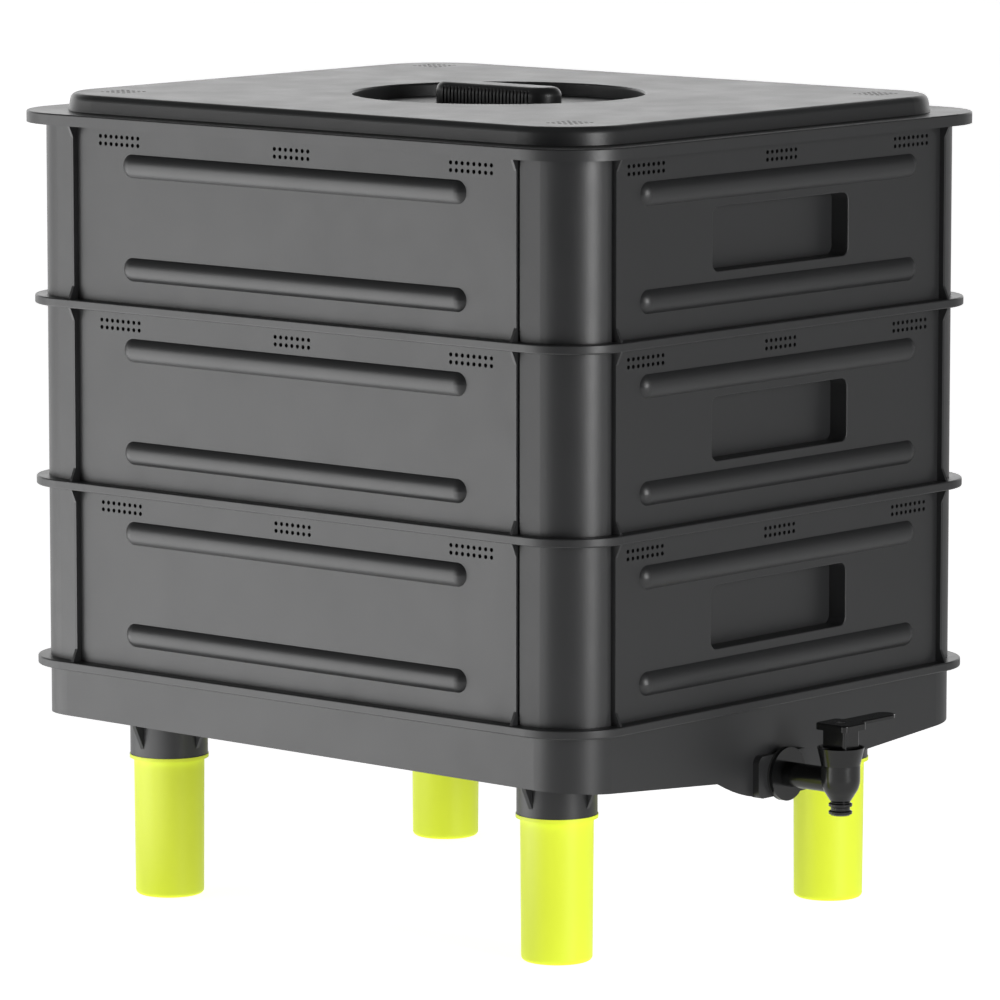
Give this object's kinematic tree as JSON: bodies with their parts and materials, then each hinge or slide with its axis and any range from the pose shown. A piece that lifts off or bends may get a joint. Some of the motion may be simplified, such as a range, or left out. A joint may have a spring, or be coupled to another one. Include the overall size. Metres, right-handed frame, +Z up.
{
  "type": "stacking wormery",
  "caption": "Stacking garden wormery: ventilated trays under a gripped lid, above a collecting base on push-in legs with a drain tap at the front.",
  "frame": {"origin": "on the ground under the middle of the whole object, tap included", "axes": "+Z up, -Y towards the front, where the tap stands, +X to the right seen from the front"},
  "size_m": [0.4464, 0.576, 0.562],
  "materials": {
    "box_plastic": "satin charcoal moulded polypropylene with a fine texture",
    "leg_plastic": "satin lime moulded polypropylene",
    "tap_plastic": "satin black moulded polypropylene",
    "seal_rubber": "plain black rubber",
    "screw_steel": "plain stainless screws"
  },
  "bodies": {
    "stand": {"base": "box_plastic", "leg_front_left": "leg_plastic", "leg_front_right": "leg_plastic", "leg_back_left": "leg_plastic", "leg_back_right": "leg_plastic", "tap_body": "tap_plastic", "tap_bonnet": "tap_plastic", "tap_outer_washer": "seal_rubber", "tap_inner_washer": "seal_rubber", "tap_back_nut": "tap_plastic"},
    "bottom_tray": {"tray_bottom": "box_plastic"},
    "middle_tray": {"tray_middle": "box_plastic"},
    "top_tray": {"tray_top": "box_plastic"},
    "cover": {"lid": "box_plastic", "lid_grip": "box_plastic", "lid_grip_screws": "screw_steel"},
    "lever": {"tap_lever": "tap_plastic", "tap_plug": "tap_plastic", "tap_plug_seals": "seal_rubber", "tap_lever_screw": "screw_steel"}
  },
  "joints": [
    {"name": "bottom_tray_lift", "type": "slide", "parent": "stand", "child": "bottom_tray", "axis": [0, 0, 1], "range_m": [0, 0.16]},
    {"name": "middle_tray_lift", "type": "slide", "parent": "bottom_tray", "child": "middle_tray", "axis": [0, 0, 1], "range_m": [0, 0.16]},
    {"name": "top_tray_lift", "type": "slide", "parent": "middle_tray", "child": "top_tray", "axis": [0, 0, 1], "range_m": [0, 0.16]},
    {"name": "lid_lift", "type": "slide", "parent": "top_tray", "child": "cover", "axis": [0, 0, 1], "range_m": [0, 0.16]},
    {"name": "tap_lever_turn", "type": "hinge", "parent": "stand", "child": "lever", "pos_m": [0, -0.27225, 0.1515], "axis": [0, 0, 1], "range_deg": [-90, 0]}
  ]
}
